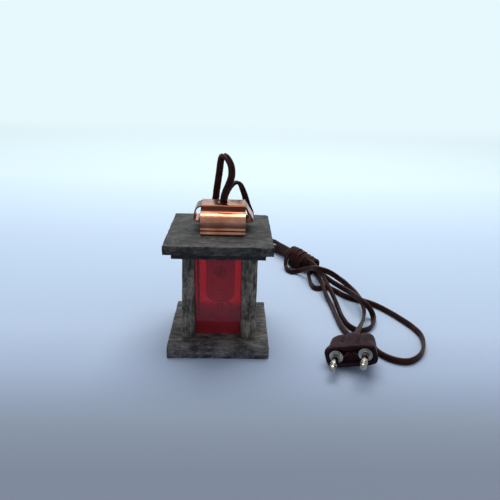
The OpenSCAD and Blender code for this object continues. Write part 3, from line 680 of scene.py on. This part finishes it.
add_node(copper, "Mix", {0: fold, 6: rubbed, 7: linear("#5d3527")}, out=2, to="Base Color",
         data_type="RGBA")
add_node(copper, "MapRange", {"Value": streak, "From Min": 0.35, "From Max": 0.7, "To Min": 0.18,
                              "To Max": 0.38}, to="Roughness")
add_node(copper, "Bump", {"Height": streak, "Strength": 0.25, "Distance": 0.05 * MM}, to="Normal")


def bent_sheet(name, line, half_w, runs, seed, lower=0.0, hole=None):
    """A strip of sheet that runs along "x" or "y": line is (distance, height) along its
    middle. It is slightly dented, and its long edges wander."""
    flat = resample([(d, h, 0) for d, h in line], 0.28)[:, :2]
    columns = np.linspace(-half_w, half_w, max(int(half_w * 2 / 0.7), 4) + 1)
    verts, n = [], len(columns)
    for d, h in flat:
        for c in columns:
            p = Vector((d * 0.16, c * 0.16, seed))
            dent = noise.noise(p) * 0.13 + noise.noise(p * 3.1) * 0.04
            side = c
            if abs(c) > half_w * 0.99:
                side += noise.noise(Vector((d * 0.3, seed, 2))) * 0.12 * np.sign(c)
            x, y = (d, side) if runs == "x" else (side, d)
            verts.append((CAP_AT + (x, y, h + dent * min(1, h / 2) - lower)) * MM)
    faces = [[i * n + k, i * n + k + 1, (i + 1) * n + k + 1, (i + 1) * n + k]
             for i in range(len(flat) - 1) for k in range(n - 1)]
    piece = new_piece(name, verts, faces, copper)
    thick = piece.modifiers.new("thickness", "SOLIDIFY")
    thick.thickness, thick.offset = 0.5 * MM, 0
    soften = piece.modifiers.new("edge", "BEVEL")
    soften.width, soften.segments, soften.limit_method = 0.1 * MM, 2, "ANGLE"
    apply_modifiers(piece)
    if hole:
        drill(piece, hole, CAP_AT[2] + 8, CAP_AT[2] + 12, 32)
    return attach(piece, "roof")


# The front and back arm: the slope from the flat top, the roll, the crimped line
# above the foot, and the foot turned back under
ROLL_R, ROLL_D, ROLL_H = 3.15, 7.0, 4.6
roll = [(ROLL_D + ROLL_R * math.cos(math.radians(a)), ROLL_H + ROLL_R * math.sin(math.radians(a)))
        for a in range(84, -1, -12)]
arm = ([(4.5, 9.93), (4.75, 9.78), (5.3, 9.25), (6.2, 8.3), (6.9, 7.8)] + roll
       + [(10.1, 3.2), (10.08, 2.75), (10.25, 2.45), (10.4, 2.2), (10.25, 1.9), (9.9, 1.72),
          (9.72, 1.5), (10.15, 0.45), (9.9, 0.27), (8.4, 0.25), (5.95, 0.25)])
main_line = [(-d, h) for d, h in arm[::-1]] + [(-4.3, 9.95), (0, 9.97), (4.3, 9.95)] + arm
right_wing = [(7.6, 9.9), (8.3, 9.7), (8.7, 9.2), (9.5, 7.9), (11.1, 5.2), (11.3, 4.6),
              (10.9, 4.3), (9.8, 4.1), (8.6, 3.9)]
left_wing = [(-7.6, 9.93), (-8.6, 9.85), (-9.8, 9.3), (-10.6, 8.2), (-11, 6.8), (-11.15, 4.9),
             (-10.8, 4.35), (-9.9, 4.1), (-9, 3.8)]
strip = bent_sheet("copper_cap_main_strip", main_line, 8.4, "y", 1.0,
                   hole=(CAP_AT[0], CAP_AT[1], 1.6))
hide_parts("copper_cap")
bent_sheet("copper_cap_right_wing", right_wing, 4.5, "x", 3.0, lower=0.3)
bent_sheet("copper_cap_left_wing", left_wing, 4.5, "x", 5.0, lower=0.3)

# ---- Lampholder ----
# Moulded holder for a miniature screw bulb, glued under the roof: a plain tube
# with a rounded mouth, a round vent at the front and thread-like ribs that
# stand out most on its front. Ivory urea plastic.
# Glossy ivory moulding, a little yellowed in places
holder_mat = new_material("lampholder_moulded_ivory", IOR=1.5)
wear(holder_mat, [(0.3, "#e4dacb"), (0.7, "#f4eee4")], 3.3, (0.2, 0.34), 1.25, 0.8, 0.03)
BORE_R, MOUTH_R, HOLDER_R, WIRE_HOLE_R = 3.3, 3.8, 5.86, 2.2
MOUTH_Z, RIBS_FROM, HOLDER_TOP = 16.4, 19.0, 42.74
RIB_PITCH, RIB_OUT, RIB_IN = 1.34, 0.14, 0.3


def holder_loops():
    """From the bore's top down to the mouth, round its lip, up the ribbed outside and back
    into the wires' hole."""
    angles = np.linspace(0, 2 * math.pi, 96, endpoint=False)
    front = (np.exp(-((angles - 1.52 * math.pi) / 0.42) ** 2)
             + 0.45 * np.exp(-((angles - 1.78 * math.pi) / 0.2) ** 2))
    outline = [(BORE_R, 34.0), (BORE_R, 26.0), (BORE_R, 16.6), (3.45, 16.42), (MOUTH_R, MOUTH_Z)]
    outline += [(MOUTH_R + 2.2 * math.cos(math.radians(a)),
                 MOUTH_Z + 2.2 + 2.2 * math.sin(math.radians(a))) for a in range(-80, 1, 10)]
    loops = [circle(r, z, angles) for r, z in outline]
    for z in list(np.arange(18.8, 29.2, 0.12)) + [30, 32, 35, 38, 41, HOLDER_TOP]:
        wave = 0.5 + 0.5 * math.cos(2 * math.pi * (z - RIBS_FROM) / RIB_PITCH)
        inside = smoothstep(z, 18.9, 19.3) * (1 - smoothstep(z, 28.2, 28.6))
        r = HOLDER_R + (RIB_OUT * wave - RIB_IN * (1 - wave)) * front * inside
        loops.append(circle(r, z, angles))
    return loops + [circle(WIRE_HOLE_R, HOLDER_TOP, angles), circle(WIRE_HOLE_R, 34.0, angles)]


def at_lamp(points):
    """Points round the lamp's axis, in mm, to the frame in metres."""
    return (np.array(points) + (LAMP_X, LAMP_Y, 0)) * MM


holder = lofted("lampholder_moulded", holder_loops(), holder_mat, at_lamp, ring=True)
drill(holder, (LAMP_X, 30, 2.5), -5.5, 0, 40, level=True)
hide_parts("lampholder_body")
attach(holder, "roof")

# ---- Bulb ----
# A 3.5 V miniature screw bulb: blown clear globe waxed into a rolled-thread
# brass shell, with a solder tip on a dark glass insulator under it.
# Thin clear glass with faint waves from blowing
glass = new_material("bulb_clear_glass", IOR=1.47, Transmission_Weight=1.0)
wear(glass, [(0.3, "#e9e4da"), (0.7, "#f6f3ee")], 6.5, (0.01, 0.06), 1.7, 3.3, 0.02)

GLOBE_R, GLOBE_Z, GLASS_T = 4.6, 10.8, 0.28
outer = [(0, GLOBE_Z - GLOBE_R)]
outer += [(GLOBE_R * math.sin(math.radians(a)), GLOBE_Z - GLOBE_R * math.cos(math.radians(a)))
          for a in (5, 10, 18, 28, 40, 52, 64, 76, 88, 100, 112, 124, 134, 142)]
outer += [(2.6, 15.0), (2.5, 15.6), (2.5, 16.8), (2.5, 18.2), (2.3, 18.4)]
inner = [(max(r - GLASS_T, 0), z + (GLASS_T if z < 8 else 0)) for r, z in outer]
globe = turned("bulb_globe_blown", outer + [(2.0, 18.4)] + inner[::-1][1:], glass, at_lamp)
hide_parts("bulb_glass")
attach(globe, "bulb")

# Plain brass strip, yellow, dulled brown in patches
brass = new_material("brass_rolled_bright", Metallic=1.0)
wear(brass, [(0.3, "#8f6a34"), (0.55, "#b98f4c"), (0.8, "#d8b46c")], 2.5, (0.2, 0.45), 0.8,
     0.45, 0.02)

# Up inside the shell, over its top rim, down the 1 mm thread and round its mouth
THREAD_R, THREAD_DEPTH = 2.6, 0.05
angles = np.linspace(0, 2 * math.pi, 48, endpoint=False)
plain_top = [(2.05, 16.85), (2.05, 22.8), (1.9, 22.95), (1.7, 23.0), (2.4, 23.0), (2.55, 22.85)]
mouth = [(2.62, 17.5), (2.65, 17.3), (2.65, 17.0), (2.55, 16.82)]
rings = [circle(r, z, angles) for r, z in plain_top]
rings += [circle(THREAD_R + THREAD_DEPTH * np.cos(angles + 2 * math.pi * z), z, angles)
          for z in np.arange(22.6, 17.6, -0.1)]
rings += [circle(r, z, angles) for r, z in mouth]
screw = lofted("bulb_shell_rolled", rings, brass, at_lamp, ring=True)
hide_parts("bulb_shell")
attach(screw, "bulb")

# ---- Small inner parts ----
# Parts inside the bulb, inside the lampholder and under the cap, which hardly
# show. Their solids have the right shape, so they are only given a finish; the
# terminal disc has that of the brass terminals that it carries.
# Dull grey solder, black glass, pale green bead glass, grey drawn tungsten
solder = new_material("solder_tin_dull", Metallic=1.0)
wear(solder, [(0.3, "#77777a"), (0.7, "#a9a9ab")], 1.4, (0.35, 0.6), 0.7, 0.55, 0.04)
insulator = new_material("glass_insulator_black", IOR=1.5)
wear(insulator, [(0.3, "#15151a"), (0.7, "#26262c")], 2, (0.12, 0.35), 0.8, 0.6, 0.02)
bead = new_material("glass_bead_green", IOR=1.5, Transmission_Weight=0.5)
wear(bead, [(0.3, "#5f8a7a"), (0.7, "#7fa898")], 1.7, (0.05, 0.2), 0.7, 0.65, 0.02)
tungsten = new_material("tungsten_wire_grey", Metallic=1.0)
wear(tungsten, [(0.3, "#5b5b60"), (0.7, "#8c8c92")], 0.4, (0.3, 0.5), 0.33, 0.25, 0.01)
for node, mat in (("lampholder_shell", brass), ("terminal_disc", brass), ("centre_contact", brass),
                  ("bulb_insulator", insulator), ("bulb_tip", solder), ("bulb_bead", bead),
                  ("bulb_filament", tungsten), ("cable_tail", vinyl), ("lamp_wires", vinyl)):
    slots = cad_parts[node].data.materials
    for k in range(len(slots)):
        slots[k] = mat
    if not slots:
        slots.append(mat)

# ---- Surface and backdrop ----
# A plain pale sheet of matt paper under the lantern, swept up behind it into a
# wall in one soft bend.
def backdrop(bend_from=0.9, bend_r=0.6):
    rows = [(y, 0) for y in (-1.2, -0.4, 0, 0.4, bend_from)]
    rows += [(bend_from + bend_r * math.sin(math.radians(a)),
              bend_r - bend_r * math.cos(math.radians(a))) for a in range(10, 91, 10)]
    rows += [(bend_from + bend_r, 3.0)]
    columns = (-3, -1, 0, 1, 3)
    n = len(columns)
    verts = [(x, y, z) for y, z in rows for x in columns]
    faces = [[i * n + k, i * n + k + 1, (i + 1) * n + k + 1, (i + 1) * n + k]
             for i in range(len(rows) - 1) for k in range(n - 1)]
    paper = new_material("backdrop_matt_pale", Roughness=0.9)
    place = add_node(paper, "SeparateXYZ", {0: add_node(paper, "TexCoord", out="Object")}, out="Y")
    # Painted light and shade: darker in front and paler towards the back, standing in
    # for the light's fall over the paper; the stops are at places along Y in mm
    start, end = -80, 500
    near = add_node(paper, "MapRange", {"Value": place, "From Min": start * MM,
                                        "From Max": end * MM})
    stops = [(-75, "#798294"), (-58, "#828e9e"), (-43, "#909db3"), (-26, "#a1b0c9"),
             (3, "#b3c3db"), (43, "#b7c9e1"), (100, "#bfd1e9"), (190, "#cfe2f3"),
             (300, "#dff1f8"), (490, "#e6f8fd")]
    add_node(paper, "ValToRGB", {"Fac": near}, to="Base Color",
             stops=[((y - start) / (end - start), c) for y, c in stops])
    # The far wall is lit from behind for the eye alone, so that it fades out evenly
    seen = add_node(paper, "LightPath", out="Is Camera Ray")
    rays = seen.node.outputs
    for ray in ("Is Glossy Ray", "Is Transmission Ray"):
        seen = add_node(paper, "Math", {0: seen, 1: rays[ray]}, operation="MAXIMUM")
    far = add_node(paper, "MapRange", {"Value": place, "From Min": 0.3, "From Max": 0.85},
                   interpolation_type="SMOOTHSTEP")
    glow = add_node(paper, "Emission", {"Color": linear("#e8f9fe"), "Strength": 1.0})
    share = add_node(paper, "Math", {0: seen, 1: far}, operation="MULTIPLY")
    mixed = add_node(paper, "MixShader", {0: share, 1: shader_of(paper).outputs[0], 2: glow})
    surface = paper.node_tree.nodes["Material Output"].inputs["Surface"]
    paper.node_tree.links.new(mixed, surface)
    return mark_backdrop(new_piece("backdrop", verts, faces, paper))


backdrop()

# ---- Light ----
# One wide soft box overhead, a little behind the lantern, and a pale surround
# that fills its shadows.
def soft_box(name, place, aim, size, power, colour):
    data = bpy.data.lights.new(name, "AREA")
    data.shape, data.size, data.size_y = "RECTANGLE", size[0], size[1]
    data.energy, data.color = power, colour
    lamp = bpy.data.objects.new(name, data)
    lamp.location = place
    lamp.rotation_euler = (Vector(aim) - Vector(place)).to_track_quat("-Z", "Y").to_euler()
    bpy.context.scene.collection.objects.link(lamp)


soft_box("overhead", place=(0.05, 0.25, 0.9), aim=(0.02, 0.03, 0), size=(0.8, 0.6), power=7.2,
         colour=(1, 0.97, 0.93))
world = bpy.data.worlds.new("surround")
world.use_nodes = True
surround = world.node_tree.nodes["Background"].inputs
surround["Color"].default_value = (0.86, 0.93, 1.0, 1)
surround["Strength"].default_value = 0.5
bpy.context.scene.world = world
bpy.context.scene.view_settings.view_transform = "Standard"
